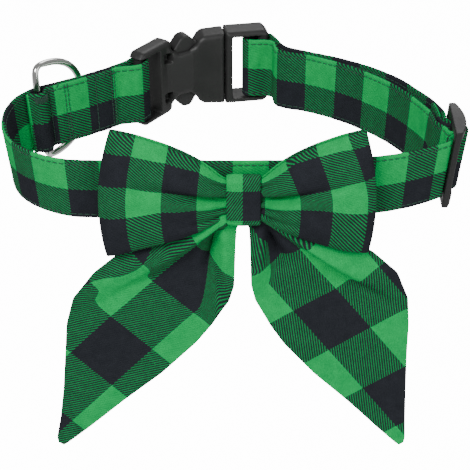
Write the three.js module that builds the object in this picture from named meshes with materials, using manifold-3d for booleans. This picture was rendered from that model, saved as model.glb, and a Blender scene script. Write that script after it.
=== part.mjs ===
// Pet bow tie collar: a flat fabric collar standing in its worn loop, with a sailor bow in front,
// a side release buckle behind, a strap slider on the right and a D ring on the left.
// Millimetres, +Z up, +Y to the back. The origin is the middle of the neck opening.
import * as THREE from 'three';
import { mergeVertices } from 'three/addons/utils/BufferGeometryUtils.js';
import Module from 'manifold-3d';

const wasm = await Module();
wasm.setup();

// Fits between neighbouring pieces
const gap = 0.3;
const edgeRoom = 1.1;

// Collar strap
const strapWidth = 25;
const strapThickness = 1.8;
const loopWidth = 180;
const loopDepth = 110;
const strapFlare = 0.13;
const backFlare = 0.15;
const strapStep = 3.2;
const foldLength = 50;
const tunnelDistance = 44;

// Side release buckle
const buckleSeamX = -5;
const buckleSeamInset = 1;
const buckleYaw = 10;
const buckleThickness = 11;
const buckleWall = 2.2;
const buckleRound = 2;
const railWidth = 2.3;
const socketBend = 22;
const bodyLength = 14;
const shoulderLength = 13.5;
const socketFrameLength = 20.5;
const socketFrameThickness = 8;
const clipLength = 20;
const webLength = 3.2;
const buckleBarRadius = 2.2;
const clipBarInset = 3.2;
const wrapReach = 4;
const notchDepth = 6.4;
const notchStart = 11.5;
const prongWidth = 3.6;
const prongCrown = 5.4;
const windowSize = 4.2;
const windowDepth = 2.4;
const windowHeight = 8.6;

// Strap slider
const sliderInset = 6;
const sliderShare = 0.518;
const sliderBarWidth = 3.6;
const sliderBarThickness = 2.6;
const sliderSlot = 7.4;
const sliderRailHeight = 3;
const sliderRailThickness = 5.2;

// D ring
const ringWire = 3.2;
const ringInnerHeight = 35.6;
const ringDepth = 26;
const ringSwing = 10;
const ringLift = 3.2;
const ringSquareness = 2.5;

// Bow
const bowX = 3.2;
const bowZ = -1.5;
const clothWall = 1;
const leftWingSpan = 55;
const rightWingSpan = 50.2;
const wingHalfHeight = 27;
const wingRise = 3.2;
const wingPuff = 3;
const wingBulge = 0.085;
const knotWidth = 13.3;
const knotHeight = 22;
const knotWall = 1;
const leftTailReach = 77;
const rightTailReach = 67.3;
const rightTailFullness = 0.05;
const tailDrop = 119.5;
const tailThickness = 1.5;
const tailFold = 3.6;
const tailFolds = 1.9;

const halfWidth = loopWidth / 2;
const halfDepth = loopDepth / 2;
const halfStrap = strapWidth / 2;
const buckleSeamY = halfDepth - buckleSeamInset;
const sliderX = halfWidth - sliderInset;
const sliderY = -sliderShare * halfDepth;
const layerPitch = strapThickness + gap;
const strapOverBar = gap + strapThickness / 2;
const slotHalfHeight = halfStrap + edgeRoom;
const frameHalfHeight = slotHalfHeight + railWidth;

const degrees = THREE.MathUtils.degToRad;
const smooth = THREE.MathUtils.smoothstep;

const materials = {
  plaid: { color: 0x149a5c, roughness: 0.95, metalness: 0 },
  plastic: { color: 0x262628, roughness: 0.5, metalness: 0 },
  nickel: { color: 0xc9cac6, roughness: 0.22, metalness: 1 },
};

function namedMesh(name, geometry, finish) {
  const mesh = new THREE.Mesh(geometry, new THREE.MeshStandardMaterial(materials[finish]));
  mesh.name = name;
  return mesh;
}

// Closed solid from a row of sections, each an equal ring of points
function sweepSections(sections, closed) {
  const count = sections.length;
  const ring = sections[0].length;
  const positions = sections.flat().flatMap((point) => [point.x, point.y, point.z]);
  const faces = [];
  const quad = (a, b, c, d) => faces.push(a, b, c, a, c, d);
  for (let i = 0; i < (closed ? count : count - 1); i += 1) {
    const here = i * ring;
    const next = ((i + 1) % count) * ring;
    for (let j = 0; j < ring; j += 1) {
      const k = (j + 1) % ring;
      quad(here + j, here + k, next + k, next + j);
    }
  }
  if (!closed) {
    const last = (count - 1) * ring;
    for (let j = 0; j < ring / 2 - 1; j += 1) {
      const k = ring - 1 - j;
      quad(j, k, k - 1, j + 1);
      quad(last + j, last + j + 1, last + k - 1, last + k);
    }
  }
  const geometry = new THREE.BufferGeometry();
  geometry.setAttribute('position', new THREE.Float32BufferAttribute(positions, 3));
  geometry.setIndex(enclosedVolume(positions, faces) > 0 ? faces : faces.toReversed());
  return geometry;
}

function enclosedVolume(positions, faces) {
  const corner = (index) => new THREE.Vector3().fromArray(positions, 3 * index);
  let volume = 0;
  for (let i = 0; i < faces.length; i += 3) {
    const [a, b, c] = [corner(faces[i]), corner(faces[i + 1]), corner(faces[i + 2])];
    volume += a.dot(b.cross(c)) / 6;
  }
  return volume;
}

function toManifold(geometry) {
  const plain = geometry.clone();
  plain.deleteAttribute('normal');
  plain.deleteAttribute('uv');
  const merged = mergeVertices(plain, 1e-4);
  return new wasm.Manifold(new wasm.Mesh({
    numProp: 3,
    vertProperties: new Float32Array(merged.attributes.position.array),
    triVerts: new Uint32Array(merged.index.array),
  }));
}

function toGeometry(solid) {
  const mesh = solid.getMesh();
  const geometry = new THREE.BufferGeometry();
  geometry.setAttribute('position', new THREE.Float32BufferAttribute(mesh.vertProperties, 3));
  geometry.setIndex(Array.from(mesh.triVerts));
  return geometry;
}

// Plate of an outline in X and Z, with its thickness along Y
function plate(shape, thickness, bevel) {
  const geometry = new THREE.ExtrudeGeometry(shape, {
    depth: thickness - 2 * bevel,
    bevelEnabled: bevel > 0,
    bevelSize: bevel,
    bevelOffset: -bevel,
    bevelThickness: bevel,
    bevelSegments: 3,
    curveSegments: 5,
  });
  return geometry.translate(0, 0, bevel - thickness / 2).rotateX(Math.PI / 2);
}

function upright(radius, height, sides) {
  return new THREE.CylinderGeometry(radius, radius, height, sides).rotateX(Math.PI / 2);
}

// Local places on the buckle and the slider, in plan
const along = (angle) => new THREE.Vector2(Math.cos(angle), Math.sin(angle));
const across = (angle) => new THREE.Vector2(-Math.sin(angle), Math.cos(angle));
function placeFrom(origin, angle, forward, outward) {
  return origin.clone().addScaledVector(along(angle), forward).addScaledVector(across(angle), outward);
}

const seam = new THREE.Vector2(buckleSeamX, buckleSeamY);
const bodyTurn = degrees(buckleYaw);
const shoulderTurn = bodyTurn + degrees(socketBend);
const frameTurn = shoulderTurn + degrees(socketBend);
const shoulderJoint = placeFrom(seam, bodyTurn, -bodyLength, 0);
const frameJoint = placeFrom(shoulderJoint, shoulderTurn, -shoulderLength, 0);
const barInset = buckleBarRadius + railWidth / 2;
const clipBar = placeFrom(seam, bodyTurn, clipLength - barInset, -clipBarInset);
const socketBar = placeFrom(frameJoint, frameTurn, barInset - socketFrameLength, 0);
const onSlider = (forward, outward) => new THREE.Vector2(sliderX + outward, sliderY + forward);

// Strap route in plan, from the end sewn at the slider, to the buckle clip, back through the slider,
// round the front and to the buckle socket. Shares of half the loop's width and depth.
const innerBackRoute = [
  { x: 0.835, y: -0.22 },
  { x: 0.795, y: -0.09 },
  { x: 0.742, y: 0.06 },
  { x: 0.690, y: 0.18 },
  { x: 0.597, y: 0.345 },
  { x: 0.484, y: 0.50 },
  { x: 0.349, y: 0.632 },
  { x: 0.205, y: 0.735 },
];
const outerBackRoute = [
  { x: 0.235, y: 0.800 },
  { x: 0.330, y: 0.710 },
  { x: 0.440, y: 0.622 },
  { x: 0.571, y: 0.490 },
  { x: 0.725, y: 0.262 },
  { x: 0.805, y: 0.06 },
  { x: 0.870, y: -0.125 },
];
const frontRoute = [
  { x: 0.868, y: -0.762 },
  { x: 0.815, y: -0.812 },
  { x: 0.770, y: -0.850 },
  { x: 0.710, y: -0.888 },
  { x: 0.652, y: -0.920 },
  { x: 0.575, y: -0.950 },
  { x: 0.40, y: -0.982 },
  { x: 0.15, y: -1 },
  { x: -0.25, y: -1 },
  { x: -0.58, y: -1 },
  { x: -0.70, y: -0.985 },
  { x: -0.785, y: -0.935 },
  { x: -0.855, y: -0.862 },
  { x: -0.912, y: -0.775 },
  { x: -0.960, y: -0.650 },
  { x: -0.993, y: -0.44 },
  { x: -0.990, y: -0.22 },
  { x: -0.955, y: -0.050 },
  { x: -0.893, y: 0.075 },
  { x: -0.802, y: 0.168 },
  { x: -0.688, y: 0.290 },
  { x: -0.577, y: 0.425 },
];
const fromShares = (row) => new THREE.Vector2(row.x * halfWidth, row.y * halfDepth);

// Wrap round a bar, from one angle to another, in plan
function wrapRound(center, radius, startAngle, endAngle, steps) {
  return Array.from({ length: steps + 1 }, (_, i) => {
    const angle = degrees(startAngle + ((endAngle - startAngle) * i) / steps);
    return center.clone().addScaledVector(along(angle), radius);
  });
}

// Tight stretches take their own closer points
function routeAtSlider() {
  const wrapX = sliderBarThickness / 2 + strapOverBar;
  const wrapY = sliderBarWidth / 2 + strapOverBar + 0.1;
  const rear = sliderBarWidth + sliderSlot;
  const sewnEnd = [
    onSlider(rear + 2.5 * sliderBarWidth, -wrapX - layerPitch - 1.2),
    onSlider(rear + 4, -wrapX - layerPitch - 0.4),
    onSlider(rear, -wrapX - layerPitch),
    onSlider(rear - 3.4, -wrapX - layerPitch + 0.1),
    onSlider(wrapY + 1.1, -wrapX - 0.4),
    onSlider(wrapY + 0.1, -0.6),
    onSlider(wrapY - 0.2, wrapX - 1),
    onSlider(wrapY - 1.2, wrapX - 0.1),
    onSlider(0, wrapX),
    onSlider(1.2 - wrapY, wrapX - 0.1),
    onSlider(0.2 - wrapY, wrapX - 1),
    onSlider(-wrapY, 0),
    onSlider(0.2 - wrapY, 1 - wrapX),
    onSlider(1.2 - wrapY, 0.1 - wrapX),
    onSlider(0, -wrapX - 0.1),
    onSlider(wrapY - 0.6, -wrapX - layerPitch + 0.2),
    onSlider(wrapY + 2, -wrapX - 2 * layerPitch + 0.5),
    onSlider(rear, -wrapX - 2 * layerPitch - 0.2),
  ];
  const halfPass = [
    [rear + 3, -wrapX - 0.3],
    [rear, -wrapX],
    [rear - 2.7, -wrapX - 0.25],
    [wrapY + layerPitch + 0.1, -wrapX + 1.5],
    [wrapY + layerPitch - 0.1, 0.6],
    [wrapY + layerPitch - 0.5, wrapX],
    [wrapY + 0.4, wrapX + layerPitch - 0.7],
    [1.4, wrapX + layerPitch],
  ];
  const through = [
    ...halfPass.map(([forward, outward]) => onSlider(forward, outward)),
    ...halfPass.toReversed().slice(0, -1).map(([forward, outward]) => onSlider(-forward, outward)),
  ];
  return { sewnEnd, through };
}

function strapCenterline() {
  const { sewnEnd, through } = routeAtSlider();
  const barWrap = buckleBarRadius + strapOverBar;
  const clipLoop = [
    placeFrom(clipBar, bodyTurn, 0.85 * wrapReach, -barWrap - 2.2),
    placeFrom(clipBar, bodyTurn, 0, -barWrap - 0.2),
    placeFrom(clipBar, bodyTurn, -wrapReach, -barWrap + 0.2),
    placeFrom(clipBar, bodyTurn, -1.9 * wrapReach, -0.4 * wrapReach),
    placeFrom(clipBar, bodyTurn, -1.95 * wrapReach, 0.3 * wrapReach),
    placeFrom(clipBar, bodyTurn, -1.1 * wrapReach, barWrap - 0.4),
    placeFrom(clipBar, bodyTurn, 0, barWrap + 0.1),
    placeFrom(clipBar, bodyTurn, 0.85 * wrapReach, barWrap - 1.2),
  ];
  const socketAngle = buckleYaw + 2 * socketBend;
  const socketWrap = [
    placeFrom(socketBar, frameTurn, -wrapReach, barWrap + 0.1),
    ...wrapRound(socketBar, barWrap, socketAngle + 90, socketAngle - 90, 7),
    placeFrom(socketBar, frameTurn, -wrapReach, -barWrap + 0.2),
  ];
  return densify([
    ...sewnEnd,
    ...innerBackRoute.map(fromShares),
    ...clipLoop,
    ...outerBackRoute.map(fromShares),
    ...through,
    ...frontRoute.map(fromShares),
    ...socketWrap,
  ]);
}

// Spacing follows the bends: short steps where the route turns, long ones where it runs straight
function densify(points) {
  const curve = new THREE.CatmullRomCurve3(points.map((p) => new THREE.Vector3(p.x, p.y, 0)), false, 'centripetal');
  const fine = [];
  points.slice(0, -1).forEach((_, i) => {
    const length = points[i].distanceTo(points[i + 1]);
    const steps = Math.max(1, Math.round(length / strapStep));
    for (let j = 0; j < steps; j += 1) fine.push(curve.getPoint((i + j / steps) / (points.length - 1)));
  });
  fine.push(curve.getPoint(1));
  return fine.map((p) => new THREE.Vector2(p.x, p.y));
}

function pathNormals(path) {
  return path.map((_, i) => {
    const before = path[Math.max(0, i - 1)];
    const after = path[Math.min(path.length - 1, i + 1)];
    const direction = after.clone().sub(before).normalize();
    return new THREE.Vector2(direction.y, -direction.x);
  });
}

// The end folded back inside the socket runs beside the strap and makes the ring's tunnel
const mainPath = strapCenterline();
function foldedEnd() {
  const lengths = [0];
  const back = mainPath.toReversed();
  for (let i = 1; i < back.length; i += 1) lengths.push(lengths[i - 1] + back[i].distanceTo(back[i - 1]));
  return { back, lengths };
}

function pointOnMain(distance) {
  const { back, lengths } = foldedEnd();
  const wrapLength = Math.PI * (buckleBarRadius + strapOverBar) + 2 * wrapReach;
  const target = distance + wrapLength;
  const i = lengths.findIndex((value) => value > target);
  const share = (target - lengths[i - 1]) / (lengths[i] - lengths[i - 1]);
  const point = back[i - 1].clone().lerp(back[i], share);
  const direction = back[Math.min(i + 1, back.length - 1)].clone().sub(back[i - 2]).normalize();
  const inward = new THREE.Vector2(-direction.y, direction.x);
  return { point, inward, direction };
}

const ringRadius = ringWire / 2;
const tunnelOffset = strapThickness / 2 + gap + ringRadius;
const tunnel = pointOnMain(tunnelDistance);
const ringAxis = tunnel.point.clone().addScaledVector(tunnel.inward, tunnelOffset);

function foldedLayer() {
  const start = 6;
  const stations = Math.ceil((foldLength - start) / 2);
  return Array.from({ length: stations + 1 }, (_, i) => {
    const distance = start + ((foldLength - start) * i) / stations;
    const { point, inward } = pointOnMain(distance);
    const fromTunnel = Math.abs(distance - tunnelDistance) / (ringWire + 1.6);
    const bulge = 1 - smooth(fromTunnel, 0.25, 1);
    const offset = layerPitch + (2 * tunnelOffset - layerPitch) * bulge;
    return point.clone().addScaledVector(inward, offset);
  });
}

// The collar opens a little towards its top: at both sides of the neck, and behind it
const sideLean = (x) => strapFlare * Math.sign(x) * (x / halfWidth) ** 2;
const backLean = (y) => backFlare * smooth(y, -0.5 * halfDepth, 0.1 * halfDepth);

function leanPoint(x, y, z) {
  return new THREE.Vector3(x + z * sideLean(x), y + z * backLean(y), z);
}

function leanGeometry(geometry) {
  const places = geometry.attributes.position;
  for (let i = 0; i < places.count; i += 1) {
    const leaning = leanPoint(places.getX(i), places.getY(i), places.getZ(i));
    places.setXYZ(i, leaning.x, leaning.y, leaning.z);
  }
  return geometry;
}

function ribbon(path) {
  const normals = pathNormals(path);
  const corner = (i, side, z) => {
    const p = path[i].clone().addScaledVector(normals[i], (side * strapThickness) / 2);
    return leanPoint(p.x, p.y, z);
  };
  const sections = path.map((_, i) => [
    corner(i, -1, -halfStrap),
    corner(i, 1, -halfStrap),
    corner(i, 1, halfStrap),
    corner(i, -1, halfStrap),
  ]);
  return sweepSections(sections, false);
}

function collarStrap() {
  return namedMesh('collar_strap', ribbon([...mainPath, ...foldedLayer()]), 'plaid');
}


// Plates of the buckle lie in its length and height; each next one turns about its joint
const turned = (angle) => new THREE.Matrix4().makeRotationZ(degrees(angle));
const moved = (x, y) => new THREE.Matrix4().makeTranslation(x, y, 0);
const bodyFrame = moved(buckleSeamX, buckleSeamY).multiply(turned(buckleYaw));
const shoulderFrame = bodyFrame.clone().multiply(moved(-bodyLength, 0)).multiply(turned(socketBend));
const socketFrame = shoulderFrame.clone().multiply(moved(-shoulderLength, 0)).multiply(turned(socketBend));
const inFrame = (geometry, frame) => toManifold(geometry.applyMatrix4(frame));

// Outline with equal halves above and below, from rows of length and half height
function mirroredShape(rows) {
  const upper = rows.map(([x, z]) => new THREE.Vector2(x, z));
  const lower = rows.toReversed().map(([x, z]) => new THREE.Vector2(x, -z));
  return new THREE.Shape([...upper, ...lower]);
}

function rails(frame, start, end) {
  const low = Math.min(start, end);
  const high = Math.max(start, end);
  const box = new THREE.BoxGeometry(high - low, 4 * buckleThickness, 2 * slotHalfHeight);
  return inFrame(box.translate((low + high) / 2, 0, 0), frame);
}

function strapBar(frame, forward, outward) {
  const bar = upright(buckleBarRadius, 2 * slotHalfHeight + railWidth, 14);
  return inFrame(bar.translate(forward, outward, 0), frame);
}

const notchFloor = frameHalfHeight - notchDepth;
const cavityHalfHeight = notchFloor + prongCrown / 2;
const cavityHalfDepth = buckleThickness / 2 - buckleWall;

function buckleSocket() {
  const body = mirroredShape([
    [-gap / 2, frameHalfHeight - 0.3],
    [-notchStart + 2, frameHalfHeight - 0.9],
    [-notchStart, frameHalfHeight - 2.2],
    [-notchStart - 1.6, notchFloor + 1.6],
    [-bodyLength - 1.5, notchFloor + 0.4],
  ]);
  const shoulder = mirroredShape([
    [1.2, notchFloor + 0.6],
    [-2, notchFloor],
    [-shoulderLength + 5, notchFloor],
    [-shoulderLength + 2.4, notchFloor + 1.6],
    [-shoulderLength - 1.5, frameHalfHeight - 0.6],
  ]);
  const frame = mirroredShape([
    [1, frameHalfHeight - 1.2],
    [-1, frameHalfHeight],
    [3 - socketFrameLength, frameHalfHeight],
    [-socketFrameLength, frameHalfHeight - 3],
  ]);
  const cavity = new THREE.BoxGeometry(bodyLength + 2, 2 * cavityHalfDepth, 2 * cavityHalfHeight);
  const deepCavity = new THREE.BoxGeometry(shoulderLength, 2 * cavityHalfDepth, 2 * cavityHalfHeight);
  const frameFace = socketFrameThickness / 2;
  const windows = [-1, 1].map((side) => {
    const box = new THREE.BoxGeometry(windowSize, 2 * windowDepth, windowSize);
    return inFrame(box.translate(-windowSize / 2 - 0.4, -frameFace, side * windowHeight), socketFrame);
  });
  let solid = inFrame(plate(body, buckleThickness, buckleRound), bodyFrame)
    .add(inFrame(plate(shoulder, buckleThickness - 1, buckleRound), shoulderFrame))
    .add(inFrame(plate(frame, socketFrameThickness, buckleRound), socketFrame))
    .subtract(rails(socketFrame, -webLength - windowSize, -socketFrameLength - 2))
    .add(strapBar(socketFrame, barInset - socketFrameLength, 0))
    .subtract(inFrame(cavity.translate(-bodyLength / 2, 0, 0), bodyFrame))
    .subtract(inFrame(deepCavity.translate(2 - shoulderLength / 2, 0, 0), shoulderFrame));
  windows.forEach((cut) => {
    solid = solid.subtract(cut);
  });
  return namedMesh('buckle_socket', leanGeometry(toGeometry(solid)), 'plastic');
}

// The clip's two springy prongs carry a crowned tongue that fills the socket's side notches
function prong(side) {
  const middle = cavityHalfHeight - gap - prongWidth / 2;
  const thickness = 2 * (cavityHalfDepth - gap);
  const stem = new THREE.BoxGeometry(bodyLength, thickness, prongWidth);
  const root = cavityHalfHeight - gap;
  const tongue = new THREE.Shape();
  tongue.moveTo(1, side * (root - prongWidth));
  tongue.lineTo(0, side * root);
  tongue.quadraticCurveTo(-2.4, side * (root + prongCrown), -shoulderLength / 2, side * (root + prongCrown * 0.55));
  tongue.lineTo(-shoulderLength + 3.4, side * (root - 1.2));
  tongue.lineTo(-shoulderLength + 3.4, side * (root - prongWidth));
  tongue.closePath();
  return inFrame(stem.translate(1 - bodyLength / 2, 0, side * middle), bodyFrame)
    .add(inFrame(plate(tongue, thickness, 0), shoulderFrame));
}

function buckleClip() {
  const frame = mirroredShape([
    [gap / 2, frameHalfHeight],
    [clipLength - 3, frameHalfHeight],
    [clipLength, frameHalfHeight - 3],
  ]);
  const guide = new THREE.BoxGeometry(bodyLength, 2 * (cavityHalfDepth - gap), prongWidth);
  const solid = inFrame(plate(frame, buckleThickness, buckleRound), bodyFrame)
    .subtract(rails(bodyFrame, webLength, clipLength + 2))
    .add(strapBar(bodyFrame, clipLength - barInset, -clipBarInset))
    .add(inFrame(guide.translate(1 - bodyLength / 2, 0, 0), bodyFrame))
    .add(prong(-1))
    .add(prong(1));
  return namedMesh('buckle_clip', leanGeometry(toGeometry(solid)), 'plastic');
}

// Three bars across the strap, joined by a bowed rail above and below
function strapSlider() {
  const halfLength = sliderBarWidth * 1.5 + sliderSlot;
  const railMiddle = slotHalfHeight + sliderRailHeight / 2;
  const lens = new THREE.Shape();
  lens.moveTo(-halfLength, -sliderBarThickness / 2);
  lens.lineTo(halfLength, -sliderBarThickness / 2);
  lens.lineTo(halfLength, sliderBarThickness / 2);
  lens.quadraticCurveTo(0, 2 * sliderRailThickness - 1.5 * sliderBarThickness, -halfLength, sliderBarThickness / 2);
  lens.closePath();
  const rail = (side) => {
    const height = sliderRailHeight;
    const geometry = new THREE.ExtrudeGeometry(lens, { depth: height, bevelEnabled: false, curveSegments: 10 });
    return toManifold(geometry.translate(0, 0, side * railMiddle - height / 2));
  };
  const bar = (forward) => {
    const height = 2 * slotHalfHeight + sliderRailHeight;
    const box = new THREE.BoxGeometry(sliderBarWidth, sliderBarThickness, height);
    return toManifold(box.translate(forward, 0, 0));
  };
  const spacing = sliderBarWidth + sliderSlot;
  const solid = rail(-1).add(rail(1)).add(bar(-spacing)).add(bar(0)).add(bar(spacing));
  const placed = toGeometry(solid).rotateZ(-Math.PI / 2).translate(sliderX, sliderY, 0);
  return namedMesh('strap_slider', leanGeometry(placed), 'plastic');
}

// Wire ring with one straight side, which turns in the tunnel of the folded strap end
function dRing() {
  const halfHeight = ringInnerHeight / 2 + ringRadius;
  const barSteps = 4;
  const arcSteps = 22;
  const path = [];
  for (let i = 1; i < barSteps; i += 1) {
    path.push(new THREE.Vector3(0, 0, halfHeight * (1 - (2 * i) / barSteps)));
  }
  for (let i = 0; i <= arcSteps; i += 1) {
    const angle = Math.PI * (i / arcSteps - 0.5);
    const squared = (value) => Math.sign(value) * Math.abs(value) ** (2 / ringSquareness);
    path.push(new THREE.Vector3(ringDepth * squared(Math.cos(angle)), 0, halfHeight * squared(Math.sin(angle))));
  }
  const sides = 8;
  const sections = path.map((point, i) => {
    const before = path[(i + path.length - 1) % path.length];
    const after = path[(i + 1) % path.length];
    const direction = after.clone().sub(before).normalize();
    const flat = new THREE.Vector3(direction.z, 0, -direction.x);
    return Array.from({ length: sides }, (_, k) => {
      const angle = (2 * Math.PI * k) / sides;
      const offset = flat.clone().multiplyScalar(ringRadius * Math.cos(angle));
      return point.clone().add(offset).add(new THREE.Vector3(0, ringRadius * Math.sin(angle), 0));
    });
  });
  const mesh = namedMesh('d_ring', sweepSections(sections, true), 'nickel');
  mesh.position.copy(leanPoint(ringAxis.x, ringAxis.y, ringLift));
  const heading = Math.atan2(tunnel.direction.y, tunnel.direction.x) + Math.PI + degrees(ringSwing);
  const lean = new THREE.Vector3(sideLean(ringAxis.x), backLean(ringAxis.y), 1).normalize();
  const upward = new THREE.Vector3(0, 0, 1);
  mesh.quaternion.setFromUnitVectors(upward, lean);
  mesh.rotateZ(heading);
  return mesh;
}

// The bow stands on the strap's front face: the tails first, then the knot's loop with the wings in it
const tailPlane = -halfDepth - strapThickness / 2 - gap - tailThickness / 2;
const knotBack = tailPlane - tailThickness / 2 - gap;
const wingBack = knotBack - knotWall - gap;
const wingPinch = clothWall + gap / 2 + 0.05;
const knotDepth = knotBack - (wingBack - 2 * wingPinch - gap - knotWall);

// Rows along a wing from the knot to its folded end, as shares of half the span and half the height
const wingRows = [
  { along: 0, top: 0.32, bottom: 0.32, rise: 0, puff: 0 },
  { along: 0.145, top: 0.33, bottom: 0.33, rise: 0, puff: 0 },
  { along: 0.22, top: 0.43, bottom: 0.43, rise: 0.3, puff: 0.5 },
  { along: 0.32, top: 0.56, bottom: 0.56, rise: 0.5, puff: 0.85 },
  { along: 0.45, top: 0.68, bottom: 0.68, rise: 0.7, puff: 1 },
  { along: 0.60, top: 0.79, bottom: 0.80, rise: 0.85, puff: 0.95 },
  { along: 0.80, top: 0.91, bottom: 0.94, rise: 0.95, puff: 0.7 },
  { along: 1, top: 1, bottom: 1, rise: 1, puff: 0.45 },
];

function rowAt(rows, key, value) {
  const next = Math.max(1, rows.findIndex((row) => row[key] >= value - 1e-9));
  const a = rows[next - 1];
  const b = rows[next];
  const share = (value - a[key]) / (b[key] - a[key]);
  return Object.fromEntries(Object.keys(a).map((name) => [name, a[name] + (b[name] - a[name]) * share]));
}

// Point of the wing's loop: u runs along both wings, v from the lower to the upper edge
function wingPoint(u, v, sheet, inset) {
  const row = rowAt(wingRows, 'along', Math.abs(u));
  const edge = v > 0 ? row.top : row.bottom;
  const height = v * edge * wingHalfHeight + row.rise * wingRise;
  const span = u > 0 ? rightWingSpan : leftWingSpan;
  const reach = span * (1 - wingBulge * v * v) - inset;
  const turn = smooth(Math.abs(u), 0.9, 1) > 0 ? Math.sqrt(Math.max(0, 1 - ((Math.abs(u) - 0.9) / 0.1) ** 2)) : 1;
  const valley = 1 - 0.75 * Math.exp(-(((v - 0.12) / 0.3) ** 2)) * (1 - smooth(Math.abs(u), 0.25, 0.75));
  const full = wingPinch + row.puff * wingPuff * valley;
  const half = (full - inset) * turn;
  return new THREE.Vector3(bowX + u * reach, wingBack - full + sheet * half, bowZ + height);
}

function bowWings() {
  const spans = [0, 0.145, 0.2, 0.28, 0.37, 0.47, 0.58, 0.7, 0.81, 0.9, 0.95, 0.985];
  const stations = [...spans.toReversed().map((u) => -u), ...spans.slice(1)];
  const loop = [{ u: -1, sheet: 0 }, ...stations.map((u) => ({ u, sheet: -1 })), { u: 1, sheet: 0 }];
  loop.push(...stations.toReversed().map((u) => ({ u, sheet: 1 })));
  const rows = 10;
  const levels = Array.from({ length: rows + 1 }, (_, i) => -1 + (2 * i) / rows);
  const sections = loop.map(({ u, sheet }) => [
    ...levels.map((v) => wingPoint(u, v, sheet, 0)),
    ...levels.toReversed().map((v) => wingPoint(u, v, sheet, clothWall)),
  ]);
  return namedMesh('bow_wings', sweepSections(sections, true), 'plaid');
}

function bowKnot() {
  const roundedBox = (depth, height, radius, Kind) => {
    const outline = new Kind();
    const y = depth / 2;
    const z = height / 2;
    outline.moveTo(-y + radius, -z);
    outline.lineTo(y - radius, -z);
    outline.quadraticCurveTo(y, -z, y, -z + radius);
    outline.lineTo(y, z - radius);
    outline.quadraticCurveTo(y, z, y - radius, z);
    outline.lineTo(-y + radius, z);
    outline.quadraticCurveTo(-y, z, -y, z - radius);
    outline.lineTo(-y, -z + radius);
    outline.quadraticCurveTo(-y, -z, -y + radius, -z);
    return outline;
  };
  const round = 2.2;
  const shape = roundedBox(knotDepth, knotHeight, round, THREE.Shape);
  shape.holes.push(roundedBox(knotDepth - 2 * knotWall, knotHeight - 2 * knotWall, round - knotWall + 0.4, THREE.Path));
  const geometry = new THREE.ExtrudeGeometry(shape, { depth: knotWidth, bevelEnabled: false, curveSegments: 4 });
  geometry.translate(0, 0, -knotWidth / 2).applyMatrix4(new THREE.Matrix4().set(
    0, 0, 1, bowX,
    1, 0, 0, knotBack - knotDepth / 2,
    0, 1, 0, bowZ,
    0, 0, 0, 1,
  ));
  return namedMesh('bow_knot', toGeometry(toManifold(geometry)), 'plaid');
}

// Rows along a tail from the knot to its point: its outer and inner edge as shares of the reach and
// the drop, and how deep its folds are
const tailRows = [
  { along: 0, outerX: 0, outerZ: -0.03, innerX: 0, innerZ: 0.065, fold: 0 },
  { along: 0.08, outerX: 0.1, outerZ: 0.01, innerX: 0.038, innerZ: 0.1, fold: 0 },
  { along: 0.16, outerX: 0.25, outerZ: 0.075, innerX: 0.048, innerZ: 0.165, fold: 0 },
  { along: 0.24, outerX: 0.42, outerZ: 0.145, innerX: 0.053, innerZ: 0.24, fold: 0.15 },
  { along: 0.33, outerX: 0.62, outerZ: 0.205, innerX: 0.055, innerZ: 0.33, fold: 0.75 },
  { along: 0.42, outerX: 0.76, outerZ: 0.285, innerX: 0.082, innerZ: 0.395, fold: 1 },
  { along: 0.51, outerX: 0.87, outerZ: 0.385, innerX: 0.158, innerZ: 0.493, fold: 0.9 },
  { along: 0.60, outerX: 0.912, outerZ: 0.49, innerX: 0.242, innerZ: 0.568, fold: 0.65 },
  { along: 0.70, outerX: 0.928, outerZ: 0.61, innerX: 0.425, innerZ: 0.692, fold: 0.4 },
  { along: 0.80, outerX: 0.95, outerZ: 0.765, innerX: 0.635, innerZ: 0.809, fold: 0.25 },
  { along: 0.90, outerX: 0.975, outerZ: 0.885, innerX: 0.82, innerZ: 0.92, fold: 0.15 },
  { along: 0.97, outerX: 1, outerZ: 0.965, innerX: 0.935, innerZ: 0.985, fold: 0.05 },
  { along: 1, outerX: 0.992, outerZ: 0.99, innerX: 0.968, innerZ: 1, fold: 0 },
];

function tailPoint(s, w, face) {
  const row = rowAt(tailRows, 'along', Math.abs(s));
  const reach = s > 0 ? rightTailReach : -leftTailReach;
  const outerX = row.outerX + (s > 0 ? rightTailFullness * Math.sin(Math.PI * smooth(row.outerZ, 0.03, 0.8)) : 0);
  const x = outerX + (row.innerX - outerX) * w;
  const z = row.outerZ + (row.innerZ - row.outerZ) * w;
  const fold = row.fold * tailFold * (0.5 - 0.5 * Math.cos(2 * Math.PI * tailFolds * w));
  return new THREE.Vector3(bowX + x * reach, tailPlane - fold + (face * tailThickness) / 2, bowZ - z * tailDrop);
}

function bowTails() {
  const steps = 24;
  const columns = 8;
  const shares = Array.from({ length: columns + 1 }, (_, i) => i / columns);
  const sections = Array.from({ length: 2 * steps + 1 }, (_, i) => {
    const s = i / steps - 1;
    return [
      ...shares.map((w) => tailPoint(s, w, -1)),
      ...shares.toReversed().map((w) => tailPoint(s, w, 1)),
    ];
  });
  return namedMesh('bow_tails', sweepSections(sections, false), 'plaid');
}

const collar = new THREE.Group();
collar.add(collarStrap(), buckleSocket(), buckleClip(), strapSlider(), dRing());
collar.add(bowWings(), bowKnot(), bowTails());

export default collar;
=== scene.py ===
import math

import bmesh
import bpy
from mathutils import Matrix, Vector, noise


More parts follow.
